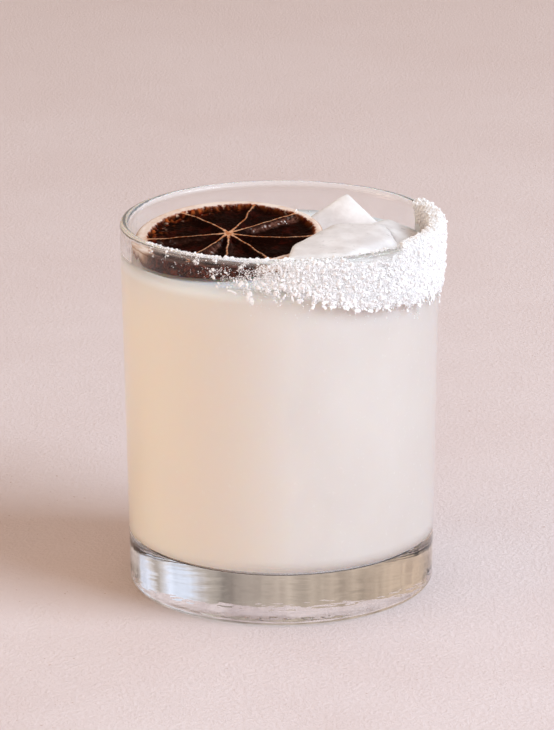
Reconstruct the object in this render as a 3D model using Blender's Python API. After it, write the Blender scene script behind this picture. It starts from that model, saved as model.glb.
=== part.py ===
# A margarita on ice in a straight-sided tumbler with a thick clear foot.
# The pieces are the glass, the cloudy drink, three lumps of ice, a dried
# blood orange wheel that lies on them, and the crust of salt on half the rim.
# Sizes are in metres, +Z is up and the origin is the centre of the foot.
# The side that the drinker sees first faces -Y.

import math
import random

import bmesh
import bpy
from mathutils import Euler, Matrix, Vector, noise

# The glass
HEIGHT = 0.0974
RIM_RADIUS = 0.0415
FOOT_RADIUS = 0.0399
WALL_AT_RIM = 0.0020
WALL_AT_FLOOR = 0.0026
FLOOR_THICKNESS = 0.0125
FLOOR_CORNER_RADIUS = 0.0050
FOOT_CORNER_RADIUS = 0.0018
LIP_RADIUS = 0.00115
GLASS_SIDES = 64

# The drink, and the gap that neighbouring pieces keep
DRINK_LEVEL = 0.0886
GAP = 0.0003

# The dried blood orange wheel
WHEEL_RADIUS = 0.0241
WHEEL_THICKNESS = 0.0044
WHEEL_CENTRE = (-0.0133, -0.0040, 0.0928)
WHEEL_TILT = (math.radians(4.7), math.radians(-1.6), 0.0)
WHEEL_CUP = 0.0007
WHEEL_WAVE = 0.012
RIND_SHARE = 0.86
EDGE_SHARE = 0.95
EDGE_DROP = 0.35
PULP_SINK = 0.0011
PULP_UNEVENNESS = 0.35
HUB_SINK = 0.35 * PULP_SINK
MEMBRANE_SINK = 0.30 * PULP_SINK
UNDERSIDE_RELIEF = 0.6
MEMBRANE_HALF_WIDTH = 0.0004
HUB_RADIUS = 0.0019
COLUMN_STEP = math.radians(7.5)
# Angles of the eight membranes round the hub, counted from +X
MEMBRANES = [math.radians(a) for a in (39, 74, 130, 184, 242, 268, 296, 352)]
# Rings of the wheel's faces, as shares of its radius
TOP_RINGS = (0.07, 0.16, 0.30, 0.46, 0.62, 0.76, 0.84, RIND_SHARE, EDGE_SHARE, 1.0)
UNDERSIDE_RINGS = (1.0, EDGE_SHARE, RIND_SHARE, 0.82, 0.55, 0.25, 0.07)

# The back lump of ice stands on a corner: its peak, and how its near face looks up
BACK_PEAK = Vector((0.0176, 0.0220, 0.0983))
BACK_EDGE = 0.0205
BACK_ROUNDING = 0.0009
BACK_FACE_RISE = math.radians(53)
BACK_FACE_TURN = math.radians(37)

# The other lumps: edges, centre, turn in degrees, rounding, and the far end's share of width
ICE_BLOCKS = {
    "ice_right": [
        ((0.0140, 0.0150, 0.0175), (0.0278, 0.0060, 0.0852), (-8, 20, -22), 0.0030, 1.0),
    ],
    "ice_front": [
        ((0.0180, 0.0170, 0.0190), (0.0205, -0.0055, 0.0860), (4, 3, 10), 0.0038, 1.0),
        ((0.0150, 0.0225, 0.0185), (0.0098, -0.0190, 0.0863), (1, -1, 5), 0.0008, 0.42),
    ],
}

# The salt crust: where it runs round the rim, and how deep and thick it is
SALT_FROM = math.radians(-146)
SALT_TO = math.radians(31)
THICK_FROM = math.radians(-92)
THICKENS_OVER = math.radians(34)
FADES_OVER = math.radians(16)
END_STRENGTH = 0.45
SALT_STEP = math.radians(3.5)
SALT_SKIRT = 0.0158
SALT_THIN_SKIRT = 0.0021
SKIRT_RAGGEDNESS = 0.22
SKIRT_WAVES = 11.0
SALT_INNER_DROP = 0.0013
SALT_THICKNESS = 0.0013
SALT_THIN_THICKNESS = 0.0006

# The crystals that stand out of the crust
GRAIN_EDGE = 0.0012
GRAIN_COUNT = 170
LIP_GRAINS = 0.10
SEED = 11


def clear_scene():
    for old in list(bpy.data.objects):
        bpy.data.objects.remove(old)


def finish_material(name, colour, roughness, transmission=0.0, alpha=1.0):
    material = bpy.data.materials.new(name)
    material.use_nodes = True
    shader = material.node_tree.nodes["Principled BSDF"]
    shader.inputs["Base Color"].default_value = (*colour, 1.0)
    shader.inputs["Metallic"].default_value = 0.0
    shader.inputs["Roughness"].default_value = roughness
    shader.inputs["Transmission Weight"].default_value = transmission
    shader.inputs["Alpha"].default_value = alpha
    return material


def new_object(name, bm, material, smooth=True):
    mesh = bpy.data.meshes.new(name)
    bm.to_mesh(mesh)
    bm.free()
    if smooth:
        mesh.shade_smooth()
        mesh.set_sharp_from_angle(angle=math.radians(35))
    obj = bpy.data.objects.new(name, mesh)
    bpy.context.scene.collection.objects.link(obj)
    if material:
        mesh.materials.append(material)
    return obj


def as_helper(obj):
    obj.hide_render = True
    obj.display_type = "WIRE"
    return obj


def apply_modifiers(obj):
    graph = bpy.context.evaluated_depsgraph_get()
    made = bpy.data.meshes.new_from_object(obj.evaluated_get(graph))
    obj.modifiers.clear()
    old = obj.data
    obj.data = made
    bpy.data.meshes.remove(old)


def solve(target, helper, operation):
    """Applies one Boolean and drops the helper."""
    modifier = target.modifiers.new(operation.lower(), "BOOLEAN")
    modifier.operation = operation
    modifier.object = helper
    modifier.solver = "EXACT"
    apply_modifiers(target)
    bpy.data.objects.remove(helper)


def arc(centre, radius, start, end, steps):
    """Points of a round stretch of a profile, as (distance from the axis, height)."""
    points = []
    for i in range(steps + 1):
        a = start + (end - start) * i / steps
        points.append((centre[0] + radius * math.cos(a), centre[1] + radius * math.sin(a)))
    return points


def turned(name, profile, sides, material):
    """A solid turned round the Z axis from a profile that starts and ends on the axis."""
    bm = bmesh.new()
    points = [bm.verts.new((r, 0.0, z)) for r, z in profile]
    lines = [bm.edges.new(pair) for pair in zip(points, points[1:])]
    bmesh.ops.spin(
        bm,
        geom=points + lines,
        axis=(0.0, 0.0, 1.0),
        cent=(0.0, 0.0, 0.0),
        angle=2 * math.pi,
        steps=sides,
        use_merge=True,
    )
    bmesh.ops.remove_doubles(bm, verts=bm.verts, dist=1e-7)
    bmesh.ops.recalc_face_normals(bm, faces=bm.faces)
    return new_object(name, bm, material)


def outer_radius(z):
    return FOOT_RADIUS + (RIM_RADIUS - FOOT_RADIUS) * z / HEIGHT


def inner_radius(z):
    share = min(1.0, max(0.0, (z - FLOOR_THICKNESS) / (HEIGHT - FLOOR_THICKNESS)))
    return outer_radius(z) - WALL_AT_FLOOR - (WALL_AT_RIM - WALL_AT_FLOOR) * share


def hollow_profile(top, inset):
    """The inside of the glass from its wall at height top down to the floor's middle."""
    corner = FLOOR_CORNER_RADIUS - inset
    floor = FLOOR_THICKNESS + inset
    wall = inner_radius(floor + corner) - inset
    points = [(inner_radius(top) - inset, top)]
    points += arc((wall - corner, floor + corner), corner, 0.0, -math.pi / 2, 5)
    return points + [(0.0, floor)]


def make_glass(material):
    foot_corner = (outer_radius(FOOT_CORNER_RADIUS) - FOOT_CORNER_RADIUS, FOOT_CORNER_RADIUS)
    lip_height = HEIGHT - LIP_RADIUS
    lip_middle = (outer_radius(lip_height) - LIP_RADIUS, lip_height)
    profile = [(0.0, 0.0)]
    profile += arc(foot_corner, FOOT_CORNER_RADIUS, -math.pi / 2, 0.0, 3)
    profile += arc(lip_middle, LIP_RADIUS, 0.0, math.pi, 6)
    profile += hollow_profile(lip_height - 2 * LIP_RADIUS, 0.0)
    return turned("glass", profile, GLASS_SIDES, material)


def membrane_columns():
    """Angles round the wheel, each with the side (-1, 0 or 1) of the membrane that it lies on."""
    columns = []
    for i, angle in enumerate(MEMBRANES):
        following = MEMBRANES[(i + 1) % len(MEMBRANES)]
        span = (following - angle) % (2 * math.pi)
        columns += [(angle, -1), (angle, 0), (angle, 1)]
        fill = max(2, round(span / COLUMN_STEP)) - 1
        columns += [(angle + span * (k + 1) / (fill + 1), None) for k in range(fill)]
    return columns


def wheel_relief(share, side, angle):
    """How far the cut face lies under the rind's height."""
    if share >= RIND_SHARE:
        return 0.0
    if share * WHEEL_RADIUS <= HUB_RADIUS:
        return HUB_SINK
    if side == 0:
        return MEMBRANE_SINK
    spot = Vector((share * math.cos(angle), share * math.sin(angle), 0.0)) * 6.0
    return PULP_SINK * (1.0 + PULP_UNEVENNESS * noise.noise(spot))


def wheel_point(share, column, top):
    """A point of the wheel's upper or lower face, in the wheel's own frame."""
    angle, side = column
    radius = share * WHEEL_RADIUS * (1.0 + WHEEL_WAVE * math.sin(3 * angle + 0.6))
    if side and radius > 0.0:
        angle += side * math.asin(min(0.9, MEMBRANE_HALF_WIDTH / radius))
        side = None if share > HUB_RADIUS / WHEEL_RADIUS else 0
    half = WHEEL_THICKNESS / 2
    edge = max(0.0, (share - EDGE_SHARE) / (1.0 - EDGE_SHARE))
    height = half - EDGE_DROP * half * edge * edge
    height -= wheel_relief(share, side, angle) * (1.0 if top else UNDERSIDE_RELIEF)
    bend = WHEEL_CUP * share * share * math.cos(2 * angle + 0.5)
    return Vector((radius * math.cos(angle), radius * math.sin(angle), bend + (height if top else -height)))


def wheel_placement():
    return Matrix.Translation(WHEEL_CENTRE) @ Euler(WHEEL_TILT).to_matrix().to_4x4()


def make_wheel(name, material):
    columns = membrane_columns()
    bm = bmesh.new()
    rings = []
    for shares, top in ((TOP_RINGS, True), (UNDERSIDE_RINGS, False)):
        for share in shares:
            rings.append([bm.verts.new(wheel_point(share, column, top)) for column in columns])
    for upper, lower in zip(rings, rings[1:]):
        for i in range(len(columns)):
            j = (i + 1) % len(columns)
            bm.faces.new((upper[i], lower[i], lower[j], upper[j]))
    for ring, top in ((rings[0], True), (rings[-1], False)):
        hub = bm.verts.new(wheel_point(0.0, (0.0, 0), top))
        for i in range(len(columns)):
            bm.faces.new((hub, ring[i], ring[(i + 1) % len(columns)]))
    bmesh.ops.recalc_face_normals(bm, faces=bm.faces)
    bmesh.ops.triangulate(bm, faces=bm.faces)
    bm.transform(wheel_placement())
    return new_object(name, bm, material)


def wheel_cutter():
    """A plain disc a little larger than the wheel, to keep the ice and the drink clear of it."""
    bm = bmesh.new()
    radius = WHEEL_RADIUS * (1.0 + WHEEL_WAVE) + 2 * GAP
    bmesh.ops.create_cone(
        bm,
        cap_ends=True,
        segments=GLASS_SIDES,
        radius1=radius,
        radius2=radius,
        depth=WHEEL_THICKNESS + 2 * (GAP + WHEEL_CUP),
    )
    bm.transform(wheel_placement())
    return as_helper(new_object("wheel_cutter", bm, None, smooth=False))


def ice_block(name, edges, placement, rounding, material, grow=0.0, far_end=1.0):
    """A melted block: its far end (local +Y) has the given share of its width."""
    bm = bmesh.new()
    bmesh.ops.create_cube(bm, size=1.0)
    for vert in bm.verts:
        vert.co = Vector((c * (edge + 2 * grow) for c, edge in zip(vert.co, edges)))
        if vert.co.y > 0.0:
            vert.co.x *= far_end
    bmesh.ops.bevel(
        bm,
        geom=bm.edges,
        offset=rounding,
        offset_type="OFFSET",
        segments=3,
        profile=0.5,
        affect="EDGES",
    )
    bm.transform(placement)
    bmesh.ops.recalc_face_normals(bm, faces=bm.faces)
    return new_object(name, bm, material)


def placed(centre, turn):
    return Matrix.Translation(centre) @ Euler([math.radians(a) for a in turn]).to_matrix().to_4x4()


def back_ice_placement():
    """One corner of this block is its peak, and the face below it looks up at the drinker."""
    across = Vector((1.0, 0.0, 0.0))
    uphill = Vector((0.0, math.sin(BACK_FACE_RISE), math.cos(BACK_FACE_RISE)))
    left = -math.cos(BACK_FACE_TURN) * across - math.sin(BACK_FACE_TURN) * uphill
    right = math.sin(BACK_FACE_TURN) * across - math.cos(BACK_FACE_TURN) * uphill
    outward = left.cross(right)
    centre = BACK_PEAK + (left + right - outward) * BACK_EDGE / 2
    turn = Matrix((left, right, outward)).transposed().to_4x4()
    return Matrix.Translation(centre) @ turn


def make_ice(name, material, grow=0.0):
    """One lump of ice, larger by grow on every side."""
    if name == "ice_back":
        edges = (BACK_EDGE,) * 3
        return ice_block(name, edges, back_ice_placement(), BACK_ROUNDING, material, grow)
    blocks = []
    for edges, centre, turn, rounding, far_end in ICE_BLOCKS[name]:
        place = placed(centre, turn)
        blocks.append(ice_block(name, edges, place, rounding, material, grow, far_end))
    for other in blocks[1:]:
        solve(blocks[0], other, "UNION")
    return blocks[0]


def ice_cutter(name):
    return as_helper(make_ice(name, None, GAP))


def make_all_ice(material):
    """The back lump is whole, and each next one is cut clear of those before it."""
    done = []
    for name in ("ice_back", "ice_front", "ice_right"):
        lump = make_ice(name, material)
        solve(lump, wheel_cutter(), "DIFFERENCE")
        for earlier in done:
            solve(lump, ice_cutter(earlier), "DIFFERENCE")
        drop_scraps(lump)
        done.append(name)
    return done


def make_drink(material, ice_names):
    profile = [(0.0, DRINK_LEVEL)] + hollow_profile(DRINK_LEVEL, GAP)
    drink = turned("drink", profile, GLASS_SIDES, material)
    solve(drink, wheel_cutter(), "DIFFERENCE")
    for name in ice_names:
        solve(drink, ice_cutter(name), "DIFFERENCE")
    return drink


def salt_strength(angle):
    """0 where the salt is a thin line on the lip, 1 where it is a thick crust."""
    rise = min(1.0, max(0.0, (angle - THICK_FROM) / THICKENS_OVER))
    fall = min(1.0, max(0.0, (SALT_TO - angle) / FADES_OVER))
    smooth = rise * rise * (3 - 2 * rise)
    return smooth * (END_STRENGTH + (1.0 - END_STRENGTH) * fall)


def between(thin, thick, strength):
    return thin + (thick - thin) * strength


def lip_path(angle, skirt, drop, lift):
    """Points of one cross-section, from the inside over the lip and down the outside."""
    middle_radius = outer_radius(HEIGHT) - LIP_RADIUS
    middle_height = HEIGHT - LIP_RADIUS
    radius = LIP_RADIUS + lift
    points = [(middle_radius - radius, middle_height - drop)]
    points += arc((middle_radius, middle_height), radius, math.pi, 0.0, 4)
    for share in (0.5, 1.0):
        z = middle_height - skirt * share
        points.append((outer_radius(z) + lift, z))
    return [Vector((r * math.cos(angle), r * math.sin(angle), z)) for r, z in points]


def make_salt_core(material):
    """The crust as a C-shaped strip that hugs the lip, closed at both ends."""
    steps = round((SALT_TO - SALT_FROM) / SALT_STEP)
    bm = bmesh.new()
    sections = []
    for i in range(steps + 1):
        angle = SALT_FROM + (SALT_TO - SALT_FROM) * i / steps
        strength = salt_strength(angle)
        ragged = 1.0 + SKIRT_RAGGEDNESS * noise.noise(Vector((angle * SKIRT_WAVES, 2.0, 0.0)))
        skirt = between(SALT_THIN_SKIRT, SALT_SKIRT, strength) * ragged
        thick = between(SALT_THIN_THICKNESS, SALT_THICKNESS, strength)
        drop = SALT_INNER_DROP * (0.4 + 0.6 * strength)
        hug = lip_path(angle, skirt, drop, GAP)
        crust = lip_path(angle, skirt * 0.97, drop * 0.8, GAP + thick)
        crust[-1] = crust[-1].lerp(hug[-1], 0.6)
        sections.append([bm.verts.new(point) for point in hug + crust[::-1]])
    count = len(sections[0])
    for first, second in zip(sections, sections[1:]):
        for i in range(count):
            j = (i + 1) % count
            bm.faces.new((first[i], first[j], second[j], second[i]))
    bm.faces.new(sections[0])
    bm.faces.new(sections[-1][::-1])
    bmesh.ops.recalc_face_normals(bm, faces=bm.faces)
    bmesh.ops.triangulate(bm, faces=bm.faces)
    return new_object("salt_rim", bm, material, smooth=False)


def grain_place(draw, reach):
    """A crystal's centre on the crust, at least reach clear of the glass, and the crust's strength."""
    while True:
        angle = draw.uniform(SALT_FROM + SALT_STEP, SALT_TO - SALT_STEP)
        strength = salt_strength(angle)
        if draw.random() < between(0.35, 1.0, strength):
            break
    lift = GAP + max(between(SALT_THIN_THICKNESS, SALT_THICKNESS, strength), reach)
    radial = Vector((math.cos(angle), math.sin(angle), 0.0))
    middle = radial * (RIM_RADIUS - LIP_RADIUS) + Vector((0.0, 0.0, HEIGHT - LIP_RADIUS))
    along = draw.uniform(-LIP_GRAINS, 1.0)
    if along < 0.0:
        slant = draw.uniform(math.radians(20), math.radians(110))
        out = radial * math.cos(slant) + Vector((0.0, 0.0, math.sin(slant)))
        return middle + out * (LIP_RADIUS + lift)
    z = middle.z - between(SALT_THIN_SKIRT, SALT_SKIRT, strength) * along
    return radial * (outer_radius(z) + lift) + Vector((0.0, 0.0, z))


def make_grain(draw, number, holder):
    edges = [GRAIN_EDGE * draw.uniform(0.6, 1.2) for _ in range(3)]
    place = grain_place(draw, Vector(edges).length / 2 + GAP / 3)
    turn = Euler([draw.uniform(0.0, 2 * math.pi) for _ in range(3)]).to_matrix().to_4x4()
    bm = bmesh.new()
    bmesh.ops.create_cube(bm, size=1.0)
    bm.transform(Matrix.Diagonal((*edges, 1.0)))
    bm.transform(Matrix.Translation(place) @ turn)
    mesh = bpy.data.meshes.new(f"grain_{number}")
    bm.to_mesh(mesh)
    bm.free()
    holder.objects.link(bpy.data.objects.new(mesh.name, mesh))


def make_salt(material):
    """The crust with its larger crystals fused on by one union."""
    core = make_salt_core(material)
    draw = random.Random(SEED)
    holder = bpy.data.collections.new("salt_grains")
    bpy.context.scene.collection.children.link(holder)
    for number in range(GRAIN_COUNT):
        make_grain(draw, number, holder)
    union = core.modifiers.new("grains", "BOOLEAN")
    union.operation = "UNION"
    union.operand_type = "COLLECTION"
    union.collection = holder
    union.solver = "EXACT"
    apply_modifiers(core)
    for grain in list(holder.objects):
        bpy.data.objects.remove(grain)
    bpy.data.collections.remove(holder)
    drop_scraps(core)
    return core


def drop_scraps(obj):
    """Keeps the largest connected body of a mesh and deletes loose scraps."""
    bm = bmesh.new()
    bm.from_mesh(obj.data)
    unseen = set(bm.verts)
    bodies = []
    while unseen:
        front = [unseen.pop()]
        body = []
        while front:
            vert = front.pop()
            body.append(vert)
            near = {edge.other_vert(vert) for edge in vert.link_edges} & unseen
            unseen -= near
            front += near
        bodies.append(body)
    bodies.sort(key=len)
    scraps = [vert for body in bodies[:-1] for vert in body]
    bmesh.ops.delete(bm, geom=scraps, context="VERTS")
    bm.to_mesh(obj.data)
    bm.free()


def main():
    clear_scene()
    clear_glass = finish_material("clear_glass", (0.95, 0.97, 0.97), 0.02, 1.0, 0.35)
    cloudy_drink = finish_material("cloudy_drink", (0.86, 0.72, 0.55), 0.25)
    ice = finish_material("ice", (0.90, 0.89, 0.88), 0.20, 0.6, 0.8)
    dried_orange = finish_material("dried_orange", (0.10, 0.02, 0.015), 0.45)
    salt = finish_material("salt", (0.93, 0.93, 0.94), 0.55)
    make_glass(clear_glass)
    ice_names = make_all_ice(ice)
    make_drink(cloudy_drink, ice_names)
    make_wheel("orange_wheel", dried_orange)
    make_salt(salt)


main()
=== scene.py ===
import math
import random

import bmesh
import bpy
import numpy as np
from mathutils import Euler, Matrix, Vector, noise


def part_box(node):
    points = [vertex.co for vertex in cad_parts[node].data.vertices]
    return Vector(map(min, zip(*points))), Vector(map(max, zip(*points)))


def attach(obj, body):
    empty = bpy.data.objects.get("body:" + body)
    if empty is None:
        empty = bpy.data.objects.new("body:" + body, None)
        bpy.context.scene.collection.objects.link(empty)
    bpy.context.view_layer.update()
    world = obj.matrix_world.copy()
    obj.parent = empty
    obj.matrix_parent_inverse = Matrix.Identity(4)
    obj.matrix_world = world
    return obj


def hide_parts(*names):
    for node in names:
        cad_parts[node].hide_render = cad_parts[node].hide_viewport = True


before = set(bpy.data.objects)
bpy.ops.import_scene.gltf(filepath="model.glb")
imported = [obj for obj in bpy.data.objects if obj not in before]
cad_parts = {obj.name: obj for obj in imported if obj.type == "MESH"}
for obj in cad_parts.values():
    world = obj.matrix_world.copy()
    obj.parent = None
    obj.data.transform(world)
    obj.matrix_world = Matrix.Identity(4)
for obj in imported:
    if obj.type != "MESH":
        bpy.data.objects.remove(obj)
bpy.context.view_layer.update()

mm = 0.001


# small helpers

def srgb(red, green, blue):
    # colour as picked on a screen, 0 to 255, turned linear
    parts = []
    for part in (red, green, blue):
        part /= 255
        parts.append(part / 12.92 if part <= 0.04045 else ((part + 0.055) / 1.055) ** 2.4)
    return (*parts, 1.0)


def mix(low, high, share):
    return low + (high - low) * share


def smooth(low, high, value):
    share = min(1.0, max(0.0, (value - low) / (high - low)))
    return share * share * (3 - 2 * share)


def rough(x, y, z=0.0):
    # noise between about -1 and 1
    return noise.noise(Vector((x, y, z)))


def gridMesh(name, rows, poles):
    # closed rows of points joined by quads; the poles shut the first and the last row
    count, around = len(rows), len(rows[0])
    points = [tuple(point) for row in rows for point in row]
    faces = []
    for i in range(count - 1):
        low, high = i * around, (i + 1) * around
        for j in range(around):
            k = (j + 1) % around
            faces.append((low + j, low + k, high + k, high + j))
    for pole, start in zip(poles, (0, (count - 1) * around)):
        points.append(tuple(pole))
        for j in range(around):
            faces.append((len(points) - 1, start + j, start + (j + 1) % around))
    mesh = bpy.data.meshes.new(name)
    mesh.from_pydata(points, [], faces)
    bm = bmesh.new()
    bm.from_mesh(mesh)
    bmesh.ops.recalc_face_normals(bm, faces=bm.faces)
    bm.to_mesh(mesh)
    bm.free()
    mesh.shade_smooth()
    return mesh


def latheMesh(name, profile, sides):
    # profile runs from axis to axis, as (radius, height)
    turns = [2 * math.pi * i / sides for i in range(sides)]
    rows = [[(r * math.cos(a), r * math.sin(a), z) for a in turns] for r, z in profile[1:-1]]
    poles = ((0.0, 0.0, profile[0][1]), (0.0, 0.0, profile[-1][1]))
    return gridMesh(name, rows, poles)


def arc(centre, radius, start, end, steps):
    turns = [start + (end - start) * i / steps for i in range(steps + 1)]
    return [(centre[0] + radius * math.cos(a), centre[1] + radius * math.sin(a)) for a in turns]


def addPiece(name, mesh, material, replaced=()):
    piece = bpy.data.objects.new(name, mesh)
    bpy.context.scene.collection.objects.link(piece)
    mesh.materials.append(material)
    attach(piece, "root")
    if replaced:
        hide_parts(*replaced)


# node helpers

def newMaterial(name):
    material = bpy.data.materials.new(name)
    material.use_nodes = True
    return material, material.node_tree, material.node_tree.nodes["Principled BSDF"]


def addNode(tree, kind, values=None, **settings):
    node = tree.nodes.new(kind)
    for key, value in settings.items():
        setattr(node, key, value)
    for key, value in (values or {}).items():
        node.inputs[key].default_value = value
    return node


def objectSpot(tree):
    return addNode(tree, "ShaderNodeTexCoord").outputs["Object"]


def noiseField(tree, spot, scale, detail, roughness, stretch=None):
    if stretch:
        mapping = addNode(tree, "ShaderNodeMapping", {"Scale": stretch})
        tree.links.new(spot, mapping.inputs["Vector"])
        spot = mapping.outputs["Vector"]
    values = {"Scale": scale, "Detail": detail, "Roughness": roughness}
    field = addNode(tree, "ShaderNodeTexNoise", values)
    tree.links.new(spot, field.inputs["Vector"])
    return field.outputs["Fac"]


def ranged(tree, value, low, high, newLow=0.0, newHigh=1.0):
    node = addNode(tree, "ShaderNodeMapRange", {"From Min": low, "From Max": high,
                                                "To Min": newLow, "To Max": newHigh})
    tree.links.new(value, node.inputs["Value"])
    return node.outputs["Result"]


def blended(tree, share, first, second):
    # first and second are colours or sockets
    node = addNode(tree, "ShaderNodeMix", data_type="RGBA")
    tree.links.new(share, node.inputs["Factor"])
    for socket, colour in ((node.inputs[6], first), (node.inputs[7], second)):
        if isinstance(colour, tuple):
            socket.default_value = colour
        else:
            tree.links.new(colour, socket)
    return node.outputs[2]


def times(tree, first, second):
    node = addNode(tree, "ShaderNodeMath", operation="MULTIPLY")
    for socket, value in zip(node.inputs, (first, second)):
        if isinstance(value, float):
            socket.default_value = value
        else:
            tree.links.new(value, socket)
    return node.outputs[0]


def painted(tree, name):
    return addNode(tree, "ShaderNodeAttribute", attribute_name=name).outputs["Fac"]


def addBump(tree, shader, height, strength, distance):
    bump = addNode(tree, "ShaderNodeBump", {"Strength": strength, "Distance": distance})
    tree.links.new(height, bump.inputs["Height"])
    tree.links.new(bump.outputs["Normal"], shader.inputs["Normal"])


def letLampsThrough(tree, shader, colour, bounced=False):
    # lamp light passes, dimmed to this colour at each surface, and bounced light too if asked
    path = addNode(tree, "ShaderNodeLightPath")
    passing = path.outputs["Is Shadow Ray"]
    if bounced:
        both = addNode(tree, "ShaderNodeMath", operation="MAXIMUM")
        tree.links.new(passing, both.inputs[0])
        tree.links.new(path.outputs["Is Diffuse Ray"], both.inputs[1])
        passing = both.outputs[0]
    clear = addNode(tree, "ShaderNodeBsdfTransparent", {"Color": colour})
    either = addNode(tree, "ShaderNodeMixShader")
    tree.links.new(passing, either.inputs[0])
    tree.links.new(shader.outputs[0], either.inputs[1])
    tree.links.new(clear.outputs[0], either.inputs[2])
    tree.links.new(either.outputs[0], tree.nodes["Material Output"].inputs["Surface"])


# camera

cameraView = {
    "lookAt": (-0.96 * mm, 0.0, 58.03 * mm),
    "distance": 1051.4 * mm,
    "elevation": 16.898,
    "roll": -0.189,
    "focalPixels": 4030,
    "pictureHeight": 730,
    "sensor": 36.0,
    "clipStart": 0.02,
}


def addCamera():
    tilt = math.radians(cameraView["elevation"])
    roll = math.radians(cameraView["roll"])
    away = Vector((0.0, -math.cos(tilt), math.sin(tilt)))
    rise = Vector((0.0, math.sin(tilt), math.cos(tilt)))
    side = Vector((1.0, 0.0, 0.0))
    turned = (side * math.cos(roll) + rise * math.sin(roll),
              rise * math.cos(roll) - side * math.sin(roll),
              away)
    data = bpy.data.cameras.new("camera")
    data.sensor_width = cameraView["sensor"]
    data.lens = cameraView["focalPixels"] * cameraView["sensor"] / cameraView["pictureHeight"]
    data.clip_start = cameraView["clipStart"]
    camera = bpy.data.objects.new("camera", data)
    place = Vector(cameraView["lookAt"]) + away * cameraView["distance"]
    camera.matrix_world = Matrix.Translation(place) @ Matrix(turned).transposed().to_4x4()
    bpy.context.scene.collection.objects.link(camera)
    bpy.context.scene.camera = camera


addCamera()
print("camera set")


# glass

glass = {
    "height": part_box("glass")[1].z,
    "rimRadius": 41.5 * mm,
    "footRadius": 39.9 * mm,
    "wallAtRim": 2.0 * mm,
    "wallAtFloor": 2.6 * mm,
    "floor": 12.5 * mm,
    "floorCorner": 5.0 * mm,
    "footCorner": 1.8 * mm,
    "lip": 1.15 * mm,
    "neck": 0.16 * mm,       # how far the wall draws in just under the lip
    "neckDepth": 2.3 * mm,
    "restingRing": 33.0 * mm,
    "push": 0.5 * mm,        # the foot's middle is pushed up this much
    "ripple": 0.012 * mm,    # rings left by the mould under the foot
    "rippleHalfTurns": 11.0,
    "waves": 0.025 * mm,     # unevenness of the foot's underside
    "wavesWithin": 32.0,     # radius of the uneven part in millimetres
    "paintedStreaksFrom": 15.0 * mm,  # painted refraction streaks in the foot start to show here
    "paintedStreaksFull": 11.0 * mm,
    "hazeFrom": 95.7 * mm,   # brine has dried on the lip from here up
    "hazeDepth": 1.0 * mm,
    "sides": 192,
    "underSteps": 44,
    "footSteps": 10,
    "wallSteps": 30,
    "lipSteps": 20,
    "insideSteps": 24,
    "cornerSteps": 12,
}


def outerRadius(z):
    return mix(glass["footRadius"], glass["rimRadius"], z / glass["height"])


def innerRadius(z):
    share = min(1.0, max(0.0, (z - glass["floor"]) / (glass["height"] - glass["floor"])))
    return outerRadius(z) - mix(glass["wallAtFloor"], glass["wallAtRim"], share)


def hollow(top, inset):
    # inside of the glass, from height top down the wall and round the corner to the floor
    corner = glass["floorCorner"] - inset
    floor = glass["floor"] + inset
    wall = innerRadius(floor + corner) - inset
    steps = glass["insideSteps"]
    heights = [mix(top, floor + corner, i / steps) for i in range(steps)]
    points = [(innerRadius(z) - inset, z) for z in heights]
    middle = (wall - corner, floor + corner)
    return points + arc(middle, corner, 0.0, -math.pi / 2, glass["cornerSteps"])


def glassProfile():
    lipHeight = glass["height"] - glass["lip"]
    lipMiddle = outerRadius(lipHeight) - glass["lip"]
    corner = glass["footCorner"]
    cornerMiddle = (outerRadius(corner) - corner, corner)
    ring = glass["restingRing"]
    points = [(0.0, glass["push"])]
    rings = glass["underSteps"]
    for i in range(1, rings):
        share = i / rings
        ripple = glass["ripple"] * math.sin(glass["rippleHalfTurns"] * math.pi * share ** 1.5) * share
        points.append((share * ring, (glass["push"] + ripple) * (1.0 - share ** 6)))
    points.append((ring, 0.0))
    points += arc(cornerMiddle, corner, -math.pi / 2, 0.0, glass["footSteps"])
    neck = lipHeight - glass["neckDepth"]
    steps = glass["wallSteps"]
    for i in range(1, steps):
        z = mix(corner, neck, i / steps)
        points.append((outerRadius(z), z))
    # the wall draws in, then swells out into the lip
    points.append((outerRadius(neck) - 0.6 * glass["neck"], neck))
    points.append((outerRadius(neck) - glass["neck"], neck + 0.8 * mm))
    points.append((lipMiddle + 0.97 * glass["lip"], lipHeight - 0.45 * mm))
    points += arc((lipMiddle, lipHeight), glass["lip"], 0.0, math.pi, glass["lipSteps"])
    points += hollow(lipHeight - 2 * glass["lip"], 0.0)
    return points + [(0.0, glass["floor"])]


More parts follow.
